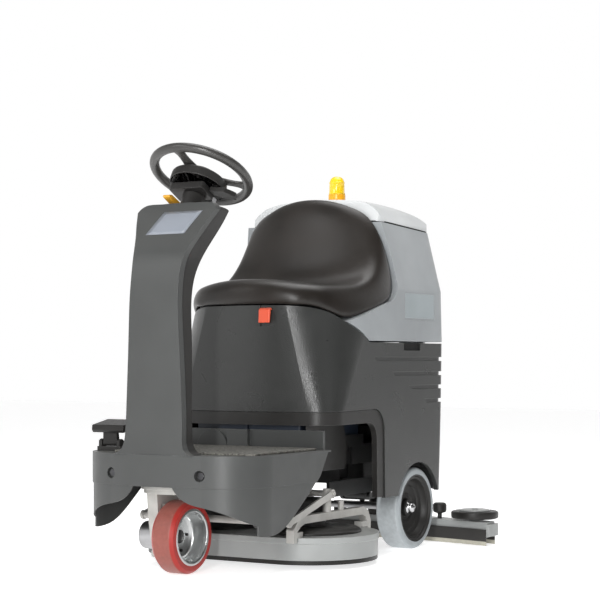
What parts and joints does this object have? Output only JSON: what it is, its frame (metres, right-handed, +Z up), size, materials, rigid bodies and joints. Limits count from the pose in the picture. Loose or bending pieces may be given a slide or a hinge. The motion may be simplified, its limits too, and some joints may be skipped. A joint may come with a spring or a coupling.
{
  "type": "ride-on floor scrubber",
  "caption": "Compact ride-on floor scrubber: steered front drive wheel, foot platform, seat on a tilting recovery tank, twin disc brush deck and curved rear squeegee.",
  "frame": {"origin": "on the floor, under the middle of the machine in plan", "axes": "+X to the operator's left, +Y rearwards, +Z up"},
  "size_m": [0.9, 1.3, 1.1791],
  "materials": {
    "cover_grey": "satin moulded plastic, light texture",
    "housing_grey": "semi-gloss moulded plastic",
    "tank_silver": "satin silver-grey moulded plastic",
    "black_plastic": "textured black plastic",
    "band_black": "dark satin plastic",
    "seat_leather": "moulded seat foam with a leather-grained skin",
    "mat_rubber": "speckled ribbed rubber",
    "tyre_red": "red polyurethane, worn pale on the tread",
    "tyre_grey": "non-marking grey rubber",
    "black_rubber": "matt black rubber",
    "blade_rubber": "pale translucent rubber",
    "cast_aluminium": "sand-cast, bead blasted",
    "turned_aluminium": "machined",
    "steel": "zinc plated",
    "frame_black": "black powder coat",
    "deck_white": "light grey moulded plastic",
    "bristle": "dark bristle",
    "battery_case": "dark case, lead terminals",
    "latch_red": "orange-red plastic",
    "lever_amber": "amber plastic",
    "beacon_yellow": "ribbed translucent amber lens",
    "beacon_base": "amber plastic foot"
  },
  "bodies": {
    "root": {"arch_band": "band_black", "batteries": "battery_case", "chassis_frame": "frame_black", "column_rear_cover": "black_plastic", "dash_panel": "black_plastic", "front_bolts": "steel", "front_cover": "cover_grey", "inner_panels": "black_plastic", "lower_housing": "housing_grey", "motor_controller": "cast_aluminium", "pedal_bracket": "black_plastic", "platform_mat": "mat_rubber", "rear_axle": "steel", "steering_chain": "steel", "steering_tube": "black_plastic", "tank_hinge_pins": "steel", "vacuum_motor": "black_plastic"},
    "drive_unit": {"drive_leg": "cast_aluminium", "drive_turntable": "cast_aluminium", "drive_motor": "steel"},
    "drive_wheel": {"drive_hub": "turned_aluminium", "drive_tyre": "tyre_red"},
    "lower_shaft_body": {"lower_shaft": "steel"},
    "steering": {"steering_wheel": "black_rubber", "steering_hub": "black_plastic", "steering_shaft": "steel"},
    "paddle": {"direction_paddle": "black_plastic"},
    "lever": {"column_lever": "lever_amber"},
    "key_body": {"key": "steel"},
    "brush_button_body": {"brush_button": "black_plastic"},
    "suction_button_body": {"suction_button": "black_plastic"},
    "pedal": {"accelerator_pedal": "black_rubber"},
    "latch": {"seat_latch": "latch_red"},
    "rear_wheel_left": {"rear_rim_left": "black_plastic", "rear_tyre_left": "tyre_grey"},
    "rear_wheel_right": {"rear_rim_right": "black_plastic", "rear_tyre_right": "tyre_grey"},
    "deck_arm_body": {"deck_arms": "cast_aluminium"},
    "deck": {"deck_shell": "deck_white", "deck_skirt": "black_rubber", "brush_motors": "black_plastic", "deck_bridges": "cast_aluminium"},
    "level_link_body": {"level_link": "cast_aluminium"},
    "lift_tube_body": {"lift_tube": "steel"},
    "lift_rod_body": {"lift_rod": "steel"},
    "brush_left_body": {"brush_left": "bristle"},
    "brush_right_body": {"brush_right": "bristle"},
    "squeegee_carrier": {"squeegee_lift_arm": "frame_black"},
    "squeegee": {"squeegee_body": "deck_white", "squeegee_blades": "blade_rubber", "squeegee_bracket": "black_plastic", "squeegee_knobs": "black_plastic"},
    "roller_left": {"guide_roller_left": "black_rubber"},
    "roller_right": {"guide_roller_right": "black_rubber"},
    "tank": {"recovery_tank": "tank_silver", "seat": "seat_leather", "float_cage": "black_plastic"},
    "lid": {"tank_lid": "tank_silver", "beacon_base": "beacon_base", "beacon_lens": "beacon_yellow"}
  },
  "joints": [
    {"name": "drive_unit_steer", "type": "hinge", "parent": "root", "child": "drive_unit", "pos_m": [0, -0.505, 0.25], "axis": [0, 0, 1], "range_deg": [-75, 75]},
    {"name": "drive_wheel_spin", "type": "hinge", "parent": "drive_unit", "child": "drive_wheel", "pos_m": [0, -0.505, 0.1], "axis": [1, 0, 0], "continuous": true},
    {"name": "lower_shaft_turn", "type": "hinge", "parent": "root", "child": "lower_shaft_body", "pos_m": [0, -0.605, 0.5], "axis": [0, 0, 1], "range_deg": [-150, 150]},
    {"name": "steering_wheel_turn", "type": "hinge", "parent": "root", "child": "steering", "pos_m": [0, -0.415, 1.102], "axis": [0, 0.4695, 0.8829], "range_deg": [-150, 150]},
    {"name": "paddle_flip", "type": "hinge", "parent": "root", "child": "paddle", "pos_m": [0.058, -0.44176, 1.05167], "axis": [0, 0.4695, 0.8829], "range_deg": [-10, 10]},
    {"name": "column_lever_press", "type": "hinge", "parent": "root", "child": "lever", "pos_m": [-0.05, -0.464, 1.02], "axis": [1, 0, 0], "range_deg": [0, 10], "stiffness_Nm_per_rad": 0.4, "springref_deg": -6.88},
    {"name": "key_turn", "type": "hinge", "parent": "root", "child": "key_body", "pos_m": [0.089, -0.48733, 1.00799], "axis": [0, 0.4279, 0.9038], "range_deg": [0, 60]},
    {"name": "brush_button_press", "type": "slide", "parent": "root", "child": "brush_button_body", "axis": [0, -0.4279, -0.9038], "range_m": [0, 0.0015], "stiffness_N_per_m": 400, "springref_m": -0.001},
    {"name": "suction_button_press", "type": "slide", "parent": "root", "child": "suction_button_body", "axis": [0, -0.4279, -0.9038], "range_m": [0, 0.0015], "stiffness_N_per_m": 400, "springref_m": -0.001},
    {"name": "accelerator_press", "type": "hinge", "parent": "root", "child": "pedal", "pos_m": [-0.225, -0.528, 0.352], "axis": [1, 0, 0], "range_deg": [0, 12], "stiffness_Nm_per_rad": 3, "springref_deg": -5.73},
    {"name": "seat_latch_pull", "type": "hinge", "parent": "root", "child": "latch", "pos_m": [0.081, -0.2, 0.729], "axis": [-1, 0, 0], "range_deg": [0, 12], "stiffness_Nm_per_rad": 0.5, "springref_deg": -5.73},
    {"name": "rear_wheel_left_spin", "type": "hinge", "parent": "root", "child": "rear_wheel_left", "pos_m": [0.237, 0.361, 0.125], "axis": [1, 0, 0], "continuous": true},
    {"name": "rear_wheel_right_spin", "type": "hinge", "parent": "root", "child": "rear_wheel_right", "pos_m": [-0.237, 0.361, 0.125], "axis": [1, 0, 0], "continuous": true},
    {"name": "deck_lift", "type": "hinge", "parent": "root", "child": "deck_arm_body", "pos_m": [0, -0.345, 0.136], "axis": [1, 0, 0], "range_deg": [-2.8, 7.3]},
    {"name": "deck_level", "type": "hinge", "parent": "deck_arm_body", "child": "deck", "pos_m": [0, -0.11, 0.2], "axis": [1, 0, 0], "range_deg": [-7.3, 2.8]},
    {"name": "level_link_swing", "type": "hinge", "parent": "root", "child": "level_link_body", "pos_m": [0.06, -0.345, 0.181], "axis": [1, 0, 0], "range_deg": [-2.8, 7.3]},
    {"name": "lift_tube_swing", "type": "hinge", "parent": "root", "child": "lift_tube_body", "pos_m": [0, -0.07, 0.3], "axis": [1, 0, 0], "range_deg": [-3.4, 1.4]},
    {"name": "lift_rod_travel", "type": "slide", "parent": "lift_tube_body", "child": "lift_rod_body", "axis": [0, 0, 1], "range_m": [-0.0125, 0.031]},
    {"name": "brush_left_spin", "type": "hinge", "parent": "deck", "child": "brush_left_body", "pos_m": [0.168, -0.1, 0.05], "axis": [0, 0, 1], "continuous": true},
    {"name": "brush_right_spin", "type": "hinge", "parent": "deck", "child": "brush_right_body", "pos_m": [-0.168, -0.1, 0.05], "axis": [0, 0, 1], "continuous": true},
    {"name": "squeegee_lift", "type": "hinge", "parent": "root", "child": "squeegee_carrier", "pos_m": [0, 0.47, 0.15], "axis": [1, 0, 0], "range_deg": [0, 12]},
    {"name": "squeegee_swing", "type": "hinge", "parent": "squeegee_carrier", "child": "squeegee", "pos_m": [0, 0.515, 0.11], "axis": [0, 0, 1], "range_deg": [-8, 8]},
    {"name": "guide_roller_left_spin", "type": "hinge", "parent": "squeegee", "child": "roller_left", "pos_m": [0.375, 0.575, 0.093], "axis": [0, 0, 1], "continuous": true},
    {"name": "guide_roller_right_spin", "type": "hinge", "parent": "squeegee", "child": "roller_right", "pos_m": [-0.375, 0.575, 0.093], "axis": [0, 0, 1], "continuous": true},
    {"name": "tank_tilt", "type": "hinge", "parent": "root", "child": "tank", "pos_m": [0, 0.58, 0.64], "axis": [-1, 0, 0], "range_deg": [0, 70]},
    {"name": "tank_lid_open", "type": "hinge", "parent": "tank", "child": "lid", "pos_m": [0, 0.556, 1], "axis": [-1, 0, 0], "range_deg": [0, 60]}
  ],
  "couplings": [
    {"joint": "steering_wheel_turn", "follows": "drive_unit_steer", "ratio": 2},
    {"joint": "lower_shaft_turn", "follows": "drive_unit_steer", "ratio": 2},
    {"joint": "deck_level", "follows": "deck_lift", "ratio": -1},
    {"joint": "level_link_swing", "follows": "deck_lift", "ratio": 1},
    {"joint": "lift_tube_swing", "follows": "deck_lift", "ratio": -0.45},
    {"joint": "lift_rod_travel", "follows": "deck_lift", "m_per_rad": 0.235}
  ]
}
